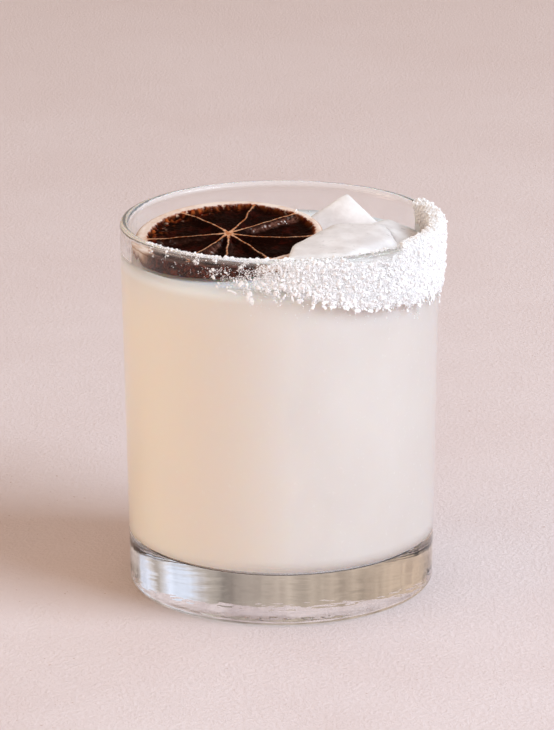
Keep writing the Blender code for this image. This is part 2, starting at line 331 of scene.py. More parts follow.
def glassMaterial():
    material, tree, shader = newMaterial("polishedGlass")
    shader.inputs["IOR"].default_value = 1.5
    shader.inputs["Specular Tint"].default_value = srgb(176, 172, 170)
    spot = objectSpot(tree)
    parts = addNode(tree, "ShaderNodeSeparateXYZ")
    tree.links.new(spot, parts.inputs[0])
    # painted refraction: the thick foot is tinted grey in upright streaks, in place of the streaks
    # that glass bends out of the room
    streakNoise = noiseField(tree, spot, 170.0, 3.0, 0.6, (1.0, 1.0, 0.03))
    inFoot = ranged(tree, parts.outputs["Z"], glass["paintedStreaksFrom"], glass["paintedStreaksFull"])
    paintedStreaks = times(tree, ranged(tree, streakNoise, 0.46, 0.66), inFoot)
    body = blended(tree, paintedStreaks, srgb(254, 255, 255), srgb(222, 219, 220))
    tree.links.new(body, shader.inputs["Base Color"])
    # dried brine makes the lip a little milky
    smears = noiseField(tree, spot, 90.0, 4.0, 0.6, (1.0, 1.0, 0.4))
    hazeFull = glass["hazeFrom"] + glass["hazeDepth"]
    haze = times(tree, ranged(tree, parts.outputs["Z"], glass["hazeFrom"], hazeFull),
                 ranged(tree, smears, 0.3, 0.6, 0.6, 1.0))
    tree.links.new(ranged(tree, haze, 0.0, 1.0, 1.0, 0.82), shader.inputs["Transmission Weight"])
    tree.links.new(ranged(tree, haze, 0.0, 1.0, 0.01, 0.16), shader.inputs["Roughness"])
    ripples = noiseField(tree, spot, 130.0, 2.0, 0.5, (1.0, 1.0, 0.12))
    addBump(tree, shader, ripples, 0.25, 0.7 * mm)
    letLampsThrough(tree, shader, srgb(236, 240, 240), True)
    return material


def tumblerMesh():
    mesh = latheMesh("tumbler", glassProfile(), glass["sides"])
    for vert in mesh.vertices:
        x, y, z = vert.co / mm
        if z < 1.0 and math.hypot(x, y) < glass["wavesWithin"]:
            vert.co.z = max(0.05 * mm, vert.co.z + glass["waves"] * rough(x / 26, y / 9))
    return mesh


addPiece("tumbler", tumblerMesh(), glassMaterial(), ["glass"])
print("glass blown")


# drink

drink = {
    "level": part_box("drink")[1].z,
    "intoWall": 0.12 * mm,
    "overFloor": 0.04 * mm,  # at this gap the foot mirrors at low angles, as under a real liquid
    "tightFrom": 2.4 * mm,   # over the glass's floor: the drink fills the corner down to here
    "clearTo": 0.8 * mm,     # and lies clear of the glass from here down
    "meniscus": 1.1 * mm,
    "meniscusReach": 1.6 * mm,
    "swell": 0.12 * mm,
    "fineSwell": 0.05 * mm,
    # how far the border of the painted light and shade across the drink wanders
    "paintedShadeWobble": 26.0 * mm,
    "paleFrom": 76.0 * mm,
    "paleFull": 87.0 * mm,
    "frothFrom": 85.6 * mm,
    "frothFull": 87.8 * mm,
    "sides": 192,
    "surfaceRings": 60,
}


def meniscusClimb(toWall):
    return drink["meniscus"] * math.exp(-toWall / (0.35 * drink["meniscusReach"]))


def drinkRows():
    # from the floor up along the wall, then inwards over the surface
    level = drink["level"]
    wall = innerRadius(level) + drink["intoWall"]
    floor = glass["floor"]
    top = level + drink["meniscus"]
    below = []
    for tight, clear in zip(hollow(top, -drink["intoWall"]), hollow(top, drink["overFloor"])):
        share = smooth(floor + drink["tightFrom"], floor + drink["clearTo"], tight[1])
        below.append((mix(tight[0], clear[0], share), mix(tight[1], clear[1], share)))
    turns = [2 * math.pi * i / drink["sides"] for i in range(drink["sides"])]
    rows = [[(r * math.cos(a), r * math.sin(a), z) for a in turns] for r, z in reversed(below)]
    steps = drink["surfaceRings"]
    for i in range(1, steps):
        inward = 1.0 - (1.0 - i / steps) ** 2
        radius = wall * (1.0 - inward)
        row = []
        for a in turns:
            x, y = radius * math.cos(a), radius * math.sin(a)
            swell = drink["swell"] * rough(x / (7 * mm), y / (7 * mm))
            swell += drink["fineSwell"] * rough(x / (1.3 * mm), y / (1.3 * mm))
            row.append((x, y, level + meniscusClimb(wall - radius) + swell))
        rows.append(row)
    return rows


def drinkMaterial():
    material, tree, shader = newMaterial("cloudyDrink")
    spot = objectSpot(tree)
    parts = addNode(tree, "ShaderNodeSeparateXYZ")
    tree.links.new(spot, parts.inputs[0])
    wobble = noiseField(tree, spot, 38.0, 3.0, 0.55, (1.0, 1.0, 0.7))
    # painted light and shade: the drink is painted lighter and warmer on the left, away from the lamp,
    # and greyer on the lit right, across a wavy border
    wobbledX = addNode(tree, "ShaderNodeMath", operation="MULTIPLY_ADD")
    tree.links.new(wobble, wobbledX.inputs[0])
    wobbledX.inputs[1].default_value = drink["paintedShadeWobble"]
    tree.links.new(parts.outputs["X"], wobbledX.inputs[2])
    paintedLightAcross = wobbledX.outputs[0]
    paintedLightLeft = ranged(tree, paintedLightAcross, -24 * mm, 18 * mm)
    body = blended(tree, paintedLightLeft, srgb(251, 235, 220), srgb(238, 229, 225))
    # painted shade on the right side
    paintedShadeRight = ranged(tree, paintedLightAcross, 16 * mm, 46 * mm)
    body = blended(tree, paintedShadeRight, body, srgb(217, 204, 198))
    paleTop = times(tree, ranged(tree, parts.outputs["Z"], drink["paleFrom"], drink["paleFull"]), 0.5)
    body = blended(tree, paleTop, body, srgb(244, 234, 231))
    froth = ranged(tree, parts.outputs["Z"], drink["frothFrom"], drink["frothFull"])
    body = blended(tree, froth, body, srgb(255, 250, 248))
    specks = noiseField(tree, spot, 900.0, 4.0, 0.6)
    speckled = ranged(tree, specks, 0.62, 0.80, 0.0, 0.35)
    body = blended(tree, speckled, body, srgb(252, 248, 245))
    tree.links.new(body, shader.inputs["Base Color"])
    shader.inputs["Roughness"].default_value = 0.28
    shader.inputs["IOR"].default_value = 1.34
    shader.inputs["Subsurface Weight"].default_value = 0.6
    shader.inputs["Subsurface Radius"].default_value = (1.0, 0.75, 0.55)
    shader.inputs["Subsurface Scale"].default_value = 14 * mm
    addBump(tree, shader, specks, 0.15, 0.2 * mm)
    letLampsThrough(tree, shader, srgb(180, 138, 66))     # a little warm light reaches the floor
    return material


drinkPoles = ((0, 0, glass["floor"] + drink["overFloor"]), (0, 0, drink["level"]))
drinkMesh = gridMesh("drink", drinkRows(), drinkPoles)
frothy = drinkMaterial()
addPiece("cloudy_drink", drinkMesh, frothy, ["drink"])
print("drink poured")


# ice

ice = {
    "voxel": 0.45 * mm,
    "melt": 0.30 * mm,
    "pits": 0.02 * mm,
    "rounding": {"ice_back": 5, "ice_front": 16, "ice_right": 12},
    "lost": 0.08 * mm,       # melted off all round
    "wedge": 1.6 * mm,       # the front block's thin end reaches this much further along the wheel
    "wedgeAcross": (13.0, 5.0),      # between these x, in millimetres
    "wedgeAlong": (-15.0, -21.0),    # and these y
    "taller": 0.10,          # the back and front blocks stand out of the drink by this share more
    "wider": 1.5 * 0.10,     # the back block reaches further to the right by this share
    "widerFrom": 17.0 * mm,
}


def iceMesh(name):
    # the block from the frame, remeshed fine, then melted a little
    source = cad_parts[name].data.copy()
    if name == "ice_front":
        # its two shapes have melted into one lump
        bm = bmesh.new()
        for vert in source.vertices:
            bm.verts.new(vert.co)
        bmesh.ops.convex_hull(bm, input=bm.verts)
        bmesh.ops.delete(bm, geom=[v for v in bm.verts if not v.link_faces], context="VERTS")
        bm.to_mesh(source)
        bm.free()
    helper = bpy.data.objects.new(name, source)
    bpy.context.scene.collection.objects.link(helper)
    remesh = helper.modifiers.new("fine", "REMESH")
    remesh.mode = "VOXEL"
    remesh.voxel_size = ice["voxel"]
    soften = helper.modifiers.new("soft", "SMOOTH")
    soften.iterations = ice["rounding"][name]
    graph = bpy.context.evaluated_depsgraph_get()
    mesh = bpy.data.meshes.new_from_object(helper.evaluated_get(graph))
    bpy.data.objects.remove(helper)
    mesh.materials.clear()
    for vert in mesh.vertices:
        x, y, z = vert.co / mm
        dent = ice["melt"] * min(0.0, rough(x / 5, y / 5, z / 5))
        dent += ice["pits"] * rough(x / 0.9, y / 0.9, z / 0.9)
        vert.co += vert.normal * (dent - ice["lost"])
        if name == "ice_front":
            vert.co.x -= ice["wedge"] * smooth(*ice["wedgeAcross"], x) * smooth(*ice["wedgeAlong"], y)
        if name != "ice_right":
            vert.co.z += ice["taller"] * max(0.0, vert.co.z - drink["level"])
        if name == "ice_back":
            vert.co.x += ice["wider"] * max(0.0, vert.co.x - ice["widerFrom"])
    mesh.shade_smooth()
    return mesh


def iceMaterial():
    material, tree, shader = newMaterial("meltingIce")
    spot = objectSpot(tree)
    veins = noiseField(tree, spot, 150.0, 5.0, 0.62)
    body = blended(tree, ranged(tree, veins, 0.38, 0.68), srgb(217, 209, 207), srgb(241, 235, 234))
    tree.links.new(body, shader.inputs["Base Color"])
    frost = noiseField(tree, spot, 420.0, 4.0, 0.6)
    tree.links.new(ranged(tree, frost, 0.3, 0.7, 0.25, 0.45), shader.inputs["Roughness"])
    shader.inputs["IOR"].default_value = 1.31
    shader.inputs["Subsurface Weight"].default_value = 0.8
    shader.inputs["Subsurface Radius"].default_value = (1.0, 1.0, 1.0)
    shader.inputs["Subsurface Scale"].default_value = 9 * mm
    addBump(tree, shader, veins, 0.15, 0.3 * mm)
    letLampsThrough(tree, shader, srgb(176, 171, 170))
    return material


meltingIce = iceMaterial()
for block in ("ice_back", "ice_front", "ice_right"):
    addPiece("melted_" + block, iceMesh(block), meltingIce, [block])
print("ice melted")


# dried orange wheel

wheel = {
    "radius": 24.1 * mm,
    "thickness": 4.4 * mm,
    "centre": (-13.3 * mm, -4.0 * mm, 92.8 * mm),
    "tilt": (4.7, -1.6, 0.0),
    "cup": 0.5 * mm,
    "wave": 0.012,
    "pithFrom": 0.90,
    "pithWide": 158.0,       # the pith is widest on this side
    "toothedAt": 145.0,      # and its inner border is most ragged here
    "thinAt": -62.0,         # and it is thin here
    "skinFrom": 0.984,
    "sink": 1.25 * mm,
    "wrinkles": 0.34 * mm,
    "underRelief": 0.6,      # share of the upper side's relief that the under side has
    # angle at the rind, bend on the way there, the side with torn skin and how much of it
    "membranes": ((39, 4, -1, 1.0), (73, 10, 1, 0.0), (127, 12, 1, 0.0), (186, -4, 1, 0.15),
                  (242, -3, 1, 0.8), (267, -5, 1, 0.15), (297, -3, 1, 0.0), (353, 26, 1, 0.0)),
    "veinWidth": 0.11,       # half width in millimetres
    "hubFlare": 0.75,        # and how much wider the veins are at the hub and at the rind
    "rindFlare": 0.40,
    "wander": 0.035,         # how far a vein strays from its line, in radians
    "darkAt": 252.0,         # the rind has browned on this side
    "around": 480,
    "topRings": 84,
    "sideRings": 8,
    "underRings": 12,
}


def nearestMembrane(radius, angle, toPith):
    # distance from the closest membrane's edge, and the veil beside it
    gap, veil = radius, 0.0
    flare = wheel["hubFlare"] * math.exp(-radius / (1.9 * mm))
    flare += wheel["rindFlare"] * math.exp(-max(0.0, toPith) / (1.3 * mm))
    for degrees, bend, side, torn in wheel["membranes"]:
        inward = 1.0 - min(1.0, radius / (0.9 * wheel["radius"]))
        line = math.radians(degrees - bend * inward)
        line += wheel["wander"] * rough(radius / (4.5 * mm), degrees)
        turn = (angle - line + math.pi) % (2 * math.pi) - math.pi
        if abs(turn) > 1.0:
            continue
        aside = radius * math.sin(turn) + 0.10 * mm * rough(radius / (1.2 * mm), degrees, 2.0)
        width = (wheel["veinWidth"] + flare) * (1.0 + 0.8 * rough(radius / mm, degrees, 4.0))
        gap = min(gap, abs(aside) - width * mm)
        if torn < 0.1:
            continue
        # the veil of torn skin widens outwards
        part = 0.3 + 2.2 * smooth(2 * mm, 14 * mm, radius)
        part += 0.9 * rough(radius / (2.2 * mm), degrees, 6.0)
        reach = aside * side / (max(0.15, part) * mm)
        ragged = 0.5 + 0.5 * smooth(-0.3, 0.3, rough(radius / (1.1 * mm), aside / (0.5 * mm), degrees))
        veil = max(veil, torn * ragged * smooth(-0.1, 0.15, reach) * smooth(1.25, 0.7, reach))
    return gap, veil


def wheelSpot(share, angle, face):
    # a point of the wheel in its own frame, with what it is made of there
    radius = share * wheel["radius"]
    x, y = radius * math.cos(angle), radius * math.sin(angle)
    toothed = smooth(0.2, 0.9, math.cos(angle - math.radians(wheel["toothedAt"])))
    ragged = 0.02 * rough(3 * x / wheel["radius"], 3 * y / wheel["radius"], 5.0)
    ragged += mix(0.010, 0.03, toothed) * rough(x / mm, y / mm, 2.0)
    ragged -= 0.028 * math.cos(angle - math.radians(wheel["pithWide"]))
    ragged += 0.045 * smooth(0.55, 0.9, math.cos(angle - math.radians(wheel["thinAt"])))
    toPith = (wheel["pithFrom"] + ragged - share) * wheel["radius"]
    gap, veil = nearestMembrane(radius, angle, toPith)
    # the pulp has sunk between the membranes and wrinkled
    inPulp = smooth(0.0, 1.1 * mm, min(toPith, gap))
    ridges = rough(angle * 9.0, radius / (3.4 * mm), 1.0)
    ridges += 0.6 * rough(angle * 24.0, radius / (1.6 * mm), 7.0)
    crumple = rough(x / (0.9 * mm), y / (0.9 * mm), 3.0)
    sunk = wheel["sink"] * (1.0 + 0.45 * rough(x / (5 * mm), y / (5 * mm), 9.0))
    height = -inPulp * (sunk + wheel["wrinkles"] * (ridges + 0.5 * crumple))
    height += 0.35 * veil * inPulp * sunk
    # small beads of dried flesh along the pith, most of them at the upper left
    beads = smooth(-0.05, 0.35, rough(x / (1.1 * mm), y / (1.4 * mm), 13.0))
    wide = mix(0.2, 1.5, toothed) * mm
    fringe = beads * math.exp(-max(0.0, toPith - 0.4 * wide) / wide)
    fringe = max(fringe, math.exp(-max(0.0, toPith) / (0.3 * mm)))
    height += 0.55 * sunk * fringe * inPulp * beads
    height -= 0.12 * mm * smooth(wheel["skinFrom"], wheel["pithFrom"], share)
    height += 0.05 * mm * rough(x / (1.1 * mm), y / (1.1 * mm), 11.0)
    half = wheel["thickness"] / 2
    edge = max(0.0, (share - 0.95) / 0.05)
    height += half - 0.20 * half * edge * edge
    if face < 0:
        height = half + (height - half) * wheel["underRelief"]
    outline = 1.0 + wheel["wave"] * math.sin(3 * angle + 0.6)
    bend = -wheel["cup"] * share * share * math.cos(2 * angle + 0.3)
    point = Vector((x * outline, y * outline, bend + face * height))
    stain = 0.3 * mm * rough(x / (0.5 * mm), y / (0.5 * mm), 6.0)
    browned = browning(angle)
    mask = {
        "pith": smooth(0.25 * mm, -0.20 * mm, toPith + stain),
        "vein": smooth(0.14 * mm, -0.06 * mm, gap),
        "fringe": fringe,
        "veil": veil * inPulp,
        "skin": max(smooth(wheel["skinFrom"], 1.0, share), 0.95 * browned * smooth(0.85, 0.90, share)),
        "browned": browned,
    }
    return point, mask


def browning(angle):
    facing = math.cos(angle - math.radians(wheel["darkAt"]))
    return smooth(0.62, 0.85, facing + 0.05 * rough(angle * 7.0, 3.0))


def wheelTilt():
    return Euler([math.radians(a) for a in wheel["tilt"]]).to_matrix()


def wheelMesh():
    # the upper side from the hub outwards, the rind, then the under side inwards
    turns = [2 * math.pi * i / wheel["around"] for i in range(wheel["around"])]
    place = Matrix.Translation(wheel["centre"]) @ wheelTilt().to_4x4()
    topRings, underRings = wheel["topRings"], wheel["underRings"]
    topShares = [0.02 + 0.98 * (i / (topRings - 1)) ** 0.85 for i in range(topRings)]
    underShares = [mix(1.0, 0.05, i / (underRings - 1)) for i in range(underRings)]
    rows, paint = [], []
    for shares, face in ((topShares, 1), (underShares, -1)):
        for share in shares:
            spots = [wheelSpot(share, angle, face) for angle in turns]
            rows.append([spot[0] for spot in spots])
            paint += [spot[1] for spot in spots]
    top, under = rows[topRings - 1], rows[topRings]
    sideRows, rind = [], []
    steps = wheel["sideRings"] + 1
    for step in range(1, steps):
        share = step / steps
        bulge = 1.0 + 0.010 * math.sin(math.pi * share)
        row = []
        for angle, high, low in zip(turns, top, under):
            point = high.lerp(low, share)
            browned = browning(angle)
            wrinkle = 0.0025 * rough(angle * 14.0, share * 2.0, 21.0) * math.sin(math.pi * share)
            spread = bulge + wrinkle + 0.035 * browned * share
            row.append(Vector((point.x * spread, point.y * spread, point.z)))
            skin = max(browned, smooth(0.1, 0.6, share + 0.2 * rough(angle * 6.0, share, 8.0)))
            rind.append({"pith": 1.0, "vein": 0.0, "fringe": 0.0, "veil": 0.0, "skin": skin,
                         "browned": max(browned, share)})
        sideRows.append(row)
    rows[topRings:topRings] = sideRows
    at = topRings * wheel["around"]
    paint[at:at] = rind
    rows = [[place @ point for point in row] for row in rows]
    poles = []
    for face in (1, -1):
        point, mask = wheelSpot(0.0, 0.0, face)
        poles.append(place @ point)
        paint.append(mask)
    mesh = gridMesh("driedOrange", rows, poles)
    for name in ("pith", "vein", "fringe", "veil", "skin", "browned"):
        mask = mesh.attributes.new(name, "FLOAT", "POINT")
        mask.data.foreach_set("value", [spot[name] for spot in paint])
    return mesh


def orangeMaterial():
    material, tree, shader = newMaterial("driedOrange")
    spot = objectSpot(tree)
    patches = noiseField(tree, spot, 210.0, 4.0, 0.6)
    fine = noiseField(tree, spot, 1100.0, 3.0, 0.6)
    spots = noiseField(tree, spot, 620.0, 2.0, 0.5)
    pulp = blended(tree, ranged(tree, patches, 0.52, 0.76), srgb(22, 6, 3), srgb(60, 16, 9))
    pulp = blended(tree, ranged(tree, fine, 0.60, 0.8, 0.0, 0.5), pulp, srgb(84, 40, 27))
    veil = blended(tree, ranged(tree, fine, 0.35, 0.65), srgb(66, 28, 20), srgb(150, 104, 88))
    veil = blended(tree, ranged(tree, spots, 0.62, 0.70), veil, srgb(226, 206, 198))
    colour = blended(tree, times(tree, painted(tree, "veil"), 0.75), pulp, veil)
    glow = blended(tree, ranged(tree, spots, 0.44, 0.54), srgb(168, 84, 40), srgb(112, 26, 12))
    glow = blended(tree, ranged(tree, spots, 0.60, 0.66), glow, srgb(226, 184, 156))
    colour = blended(tree, painted(tree, "fringe"), colour, glow)
    vein = blended(tree, ranged(tree, fine, 0.38, 0.66), srgb(174, 98, 54), srgb(226, 182, 148))
    colour = blended(tree, painted(tree, "vein"), colour, vein)
    pith = blended(tree, ranged(tree, patches, 0.42, 0.72), srgb(234, 217, 206), srgb(210, 170, 142))
    colour = blended(tree, painted(tree, "pith"), colour, pith)
    peel = blended(tree, ranged(tree, fine, 0.45, 0.72), srgb(34, 8, 4), srgb(110, 46, 28))
    peel = blended(tree, painted(tree, "browned"), srgb(176, 120, 74), peel)
    colour = blended(tree, painted(tree, "skin"), colour, peel)
    tree.links.new(colour, shader.inputs["Base Color"])
    shine = addNode(tree, "ShaderNodeMath", operation="MAXIMUM")
    tree.links.new(painted(tree, "pith"), shine.inputs[0])
    tree.links.new(painted(tree, "vein"), shine.inputs[1])
    tree.links.new(ranged(tree, shine.outputs[0], 0.0, 1.0, 0.5, 0.8), shader.inputs["Roughness"])
    shader.inputs["Specular IOR Level"].default_value = 0.01
    addBump(tree, shader, fine, 0.35, 0.12 * mm)
    return material


addPiece("dried_orange_wheel", wheelMesh(), orangeMaterial(), ["orange_wheel"])
print("orange wheel dried")


# salt

salt = {
    "fromAngle": -146.0,
    "toAngle": 28.5,
    # each table runs round the rim as (angle, value), angles from +X and lengths in millimetres
    "depth": ((-146, 3.0), (-120, 3.6), (-112, 8.0), (-100, 9.5), (-90, 9.0), (-75, 11.5), (-60, 14.0),
              (-45, 15.5), (-20, 17.0), (0, 18.5), (20, 17.5), (28, 14.0)),
    "cover": ((-146, 0.04), (-118, 0.06), (-110, 0.18), (-96, 0.40), (-86, 0.68), (-75, 0.85),
              (-60, 0.95), (-45, 1.0), (22, 1.0), (28, 0.5)),
    "layer": ((-146, 0.10), (-95, 0.15), (-75, 0.35), (-55, 0.6), (-40, 0.9), (22, 0.9), (28, 0.5)),
    # where the crust begins: below the lip at the front, on the inside of the wall at the right
    "top": ((-146, 3.4), (-99, 3.0), (-92, 0.6), (-70, 0.4), (-62, 2.5), (-46, 2.7),
            (-37, -2.6), (-8, -2.6), (6, -8.8), (21, -8.8), (26, -2.0), (28, -0.7)),
    "packedFrom": -52.0,
    "crustLines": 230,
    "crustPoints": 46,
    "dustCount": 40000,
    "fineCount": 23500,
    "coarseCount": 3200,
    "flakeCount": 150,
    "flakesFrom": -114.0,
    "fallen": ((1.0, 5.0, 3), (4.6, 10.6, 4)),     # crystals on the wheel, as (x, y, how many)
    "fallenSpread": 0.5,
    "seed": 23,
}
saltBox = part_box("salt_rim")


def readTable(table, degrees):
    return float(np.interp(degrees, [row[0] for row in table], [row[1] for row in table]))


def lipSpot(degrees, along, out):
    # a spot on the glass: along runs over the lip, negative inside and positive outside,
    # and out leaves the glass, both in millimetres
    radius = glass["lip"]
    zMiddle = glass["height"] - radius
    rMiddle = outerRadius(zMiddle) - radius
    bend = along * mm / radius
    if abs(bend) <= math.pi / 2:
        lean = math.pi / 2 - bend
        r = rMiddle + (radius + out * mm) * math.cos(lean)
        z = zMiddle + (radius + out * mm) * math.sin(lean)
    else:
        z = zMiddle - (abs(bend) - math.pi / 2) * radius
        r = outerRadius(z) + out * mm if bend > 0 else innerRadius(z) - out * mm
    a = math.radians(degrees)
    return Vector((r * math.cos(a), r * math.sin(a), z))


def skirtEnd(degrees):
    # where the salt ends below the rim, measured along the glass
    ragged = 1.0 + 0.10 * rough(degrees / 5.0, 2.0) + 0.06 * rough(degrees / 1.7, 8.0)
    return 0.65 + readTable(salt["depth"], degrees) * ragged


def crustStart(degrees):
    # where it begins, measured the same way
    return readTable(salt["top"], degrees) + 0.5 * rough(degrees / 3.0, 5.0)


def crustRange(degrees):
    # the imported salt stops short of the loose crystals
    shorter = mix(5.5, 1.6, smooth(salt["packedFrom"], salt["packedFrom"] + 25.0, degrees))
    return crustStart(degrees) + 0.5, skirtEnd(degrees) - shorter


def crustHeight(degrees, along):
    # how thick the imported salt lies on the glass
    start, end = crustRange(degrees)
    share = (along - start) / (end - start)
    lumps = 0.75 + 0.4 * rough(degrees * 1.1, along * 1.2, 1.0)
    lumps += 0.3 * rough(degrees * 2.6, along * 3.1, 5.0)
    rim = smooth(0.0, 0.12, share) * smooth(1.0, 0.8, share)
    fade = smooth(salt["packedFrom"], salt["packedFrom"] + 21.0, degrees)
    fade *= smooth(salt["toAngle"], salt["toAngle"] - 2.5, degrees) * (1.0 if along > 0 else 0.6)
    return max(0.1, lumps) * rim * fade


def saltDensity(degrees, along):
    # share of the crystals tried at this spot that stay
    start, end = crustStart(degrees), skirtEnd(degrees)
    cover = readTable(salt["cover"], degrees)
    clump = rough(degrees / 2.2, along / 1.6, 3.0)
    spread = mix(3.4, 1.8, cover)
    crust = smooth(start - 0.6, start + 0.8, along)
    crust *= smooth(end + 0.6, end - spread, along + 1.4 * clump)
    dense = cover * crust * smooth(-0.9 * cover - 0.25, 0.4 - cover, clump)
    # a thin line on the crest of the lip, with clumps hanging from it
    line = smooth(-1.5, -0.7, along) * smooth(0.9, 0.1, along) * smooth(-0.6, 0.0, clump)
    hanging = smooth(0.2, 0.45, rough(degrees / 3.4, along / 2.6, 31.0))
    hanging *= smooth(5.5, 2.0, along)
    hanging *= smooth(-1.0, 0.0, along)
    thin = mix(0.75, 0.25, smooth(-98.0, -78.0, degrees)) * max(line, 0.6 * hanging)
    strays = 0.012 * smooth(end + 6.0, end, along) * smooth(-140.0, -112.0, degrees)
    return max(dense, thin, strays if along > 0 else 0.0)


def crystalShapes(count, corners, draw):
    # grains of four corners, splinters of six, or chipped cubes, about one unit across
    shapes = []
    for _ in range(count):
        bm = bmesh.new()
        for x in (-0.5, 0.5):
            for y in (-0.5, 0.5):
                skew = 0.5 * draw.uniform(-1.0, 1.0)
                levels = {4: (2 * x * y,), 6: (skew,)}.get(corners, (-0.5, 0.5))
                for z in levels:
                    bm.verts.new([c * draw.uniform(0.62, 1.0) for c in (x, y, z)])
        if corners == 6:
            bm.verts.new((draw.uniform(-0.25, 0.25), draw.uniform(-0.25, 0.25), 0.5))
            bm.verts.new((draw.uniform(-0.25, 0.25), draw.uniform(-0.25, 0.25), -0.5))
        for _ in range(corners - 8):
            spot = [draw.uniform(-0.5, 0.5) for _ in range(3)]
            spot[draw.randrange(3)] = draw.choice((-0.55, 0.55))
            bm.verts.new(spot)
        bmesh.ops.convex_hull(bm, input=bm.verts)
        bmesh.ops.delete(bm, geom=[v for v in bm.verts if not v.link_faces], context="VERTS")
        bmesh.ops.triangulate(bm, faces=bm.faces)
        bm.verts.index_update()
        bm.verts.ensure_lookup_table()
        points = np.array([v.co for v in bm.verts])
        faces = np.array([[v.index for v in face.verts] for face in bm.faces])
        shapes.append((points, faces))
        bm.free()
    return shapes


def scatterMesh(name, shapes, places, draw):
    # places are (centre, three edge lengths, turn)
    allPoints, allFaces, total = [], [], 0
    for centre, edges, turn in places:
        points, faces = draw.choice(shapes)
        turned = (points * edges) @ np.array(turn.to_matrix()).T + np.array(centre)
        allPoints.append(turned)
        allFaces.append(faces + total)
        total += len(points)
    mesh = bpy.data.meshes.new(name)
    mesh.from_pydata(np.concatenate(allPoints).tolist(), [], np.concatenate(allFaces).tolist())
    mesh.shade_flat()
    return mesh


def inSaltBox(centre, reach):
    # within the solid's box, or anywhere below it
    inside = all(low + reach <= c <= high - reach for c, low, high in zip(centre, *saltBox))
    return inside or centre.z < saltBox[0].z


def anyTurn(draw):
    return Euler([draw.uniform(0.0, 2 * math.pi) for _ in range(3)])


def saltPlaces(count, smallest, largest, flatness, draw, lift,
               fromAngle=salt["fromAngle"], toAngle=salt["toAngle"]):
    # sizes in millimetres; a lower lift brings more crystals to the top of the layer
    places = []
    while len(places) < count:
        degrees = draw.uniform(fromAngle, toAngle)
        along = draw.uniform(-6.0, 24.0)
        density = saltDensity(degrees, along)
        if draw.random() > density:
            continue
        size = mix(smallest, largest, draw.random() ** 1.8)
        size *= mix(0.75, 1.0, smooth(-112.0, -92.0, degrees))
        edges = [size * draw.uniform(0.7, 1.2) * mm for _ in range(3)]
        edges[2] *= draw.uniform(flatness, 1.0)
        layer = readTable(salt["layer"], degrees)
        layer *= 1.0 + 0.4 * rough(degrees / 3.0, along / 2.5, 17.0)
        layer *= smooth(0.1, 0.8, density) * smooth(0.0, 3.0, abs(along - skirtEnd(degrees)))
        packed = crustHeight(degrees, along)
        loose = layer * draw.random() ** lift * mix(1.0, 0.3, smooth(0.0, 0.5, packed))
        centre = lipSpot(degrees, along, 0.9 * packed + 0.2 * size + loose)
        if inSaltBox(centre, 0.6 * max(edges)):
            places.append((centre, edges, anyTurn(draw)))
    return places


def flakePlaces(draw):
    # long flakes that hang at the crust's lower border
    places = []
    while len(places) < salt["flakeCount"]:
        degrees = draw.uniform(salt["flakesFrom"], salt["toAngle"])
        along = skirtEnd(degrees) + draw.uniform(-4.0, 1.2)
        edges = [draw.uniform(*limits) * mm for limits in ((0.25, 0.45), (0.5, 0.95), (0.8, 1.9))]
        centre = lipSpot(degrees, along, 0.3)
        turn = Euler((draw.gauss(0.0, 0.7), draw.gauss(0.0, 0.3), math.radians(degrees)))
        places.append((centre, edges, turn))
    return places


def crustMesh():
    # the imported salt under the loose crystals
    rows = []
    steps, across = salt["crustLines"], salt["crustPoints"]
    for i in range(steps + 1):
        line = mix(salt["packedFrom"], salt["toAngle"] - 0.6, i / steps)
        start, end = crustRange(line)
        outer, inner = [], []
        for j in range(across + 1):
            along = mix(start, end, j / across)
            degrees = line + 7.0 * rough(along / 1.7, 4.0) * smooth(0.3, 0.0, i / steps)
            outer.append(lipSpot(degrees, along, 0.03 + crustHeight(degrees, along)))
            inner.append(lipSpot(degrees, along, -0.05))
        rows.append(outer + inner[::-1])
    ends = [sum(row, Vector()) / len(row) for row in (rows[0], rows[-1])]
    return gridMesh("packedSalt", rows, ends)


def saltMaterial():
    material, tree, shader = newMaterial("coarseSalt")
    spot = objectSpot(tree)
    tone = noiseField(tree, spot, 650.0, 3.0, 0.55)
    body = blended(tree, ranged(tree, tone, 0.3, 0.7), srgb(238, 235, 235), srgb(245, 243, 243))
    tree.links.new(body, shader.inputs["Base Color"])
    tree.links.new(ranged(tree, tone, 0.3, 0.7, 0.4, 0.6), shader.inputs["Roughness"])
    shader.inputs["IOR"].default_value = 1.5
    shader.inputs["Specular IOR Level"].default_value = 0.4
    shader.inputs["Subsurface Weight"].default_value = 0.3
    shader.inputs["Subsurface Radius"].default_value = (1.0, 1.0, 1.0)
    shader.inputs["Subsurface Scale"].default_value = 0.4 * mm
    grit = noiseField(tree, spot, 2600.0, 2.0, 0.6)
    addBump(tree, shader, grit, 0.2, 0.06 * mm)
    letLampsThrough(tree, shader, srgb(220, 219, 218))
    return material


def orangeCrystals(draw):
    # a few crystals that fell on the wheel
    places = []
    middle = Vector(wheel["centre"])
    for x, y, count in salt["fallen"]:
        for _ in range(count):
            size = draw.uniform(0.25, 0.65)
            aside = [draw.gauss(0, salt["fallenSpread"]) for _ in range(2)]
            local = Vector(((x + aside[0]) * mm, (y + aside[1]) * mm, 0.0)) - middle
            share = math.hypot(local.x, local.y) / wheel["radius"]
            height = wheelSpot(share, math.atan2(local.y, local.x), 1)[0].z
            raised = Vector((local.x, local.y, height + 0.25 * size * mm))
            edges = [size * draw.uniform(0.6, 1.2) * mm for _ in range(3)]
            places.append((middle + wheelTilt() @ raised, edges, anyTurn(draw)))
    return places


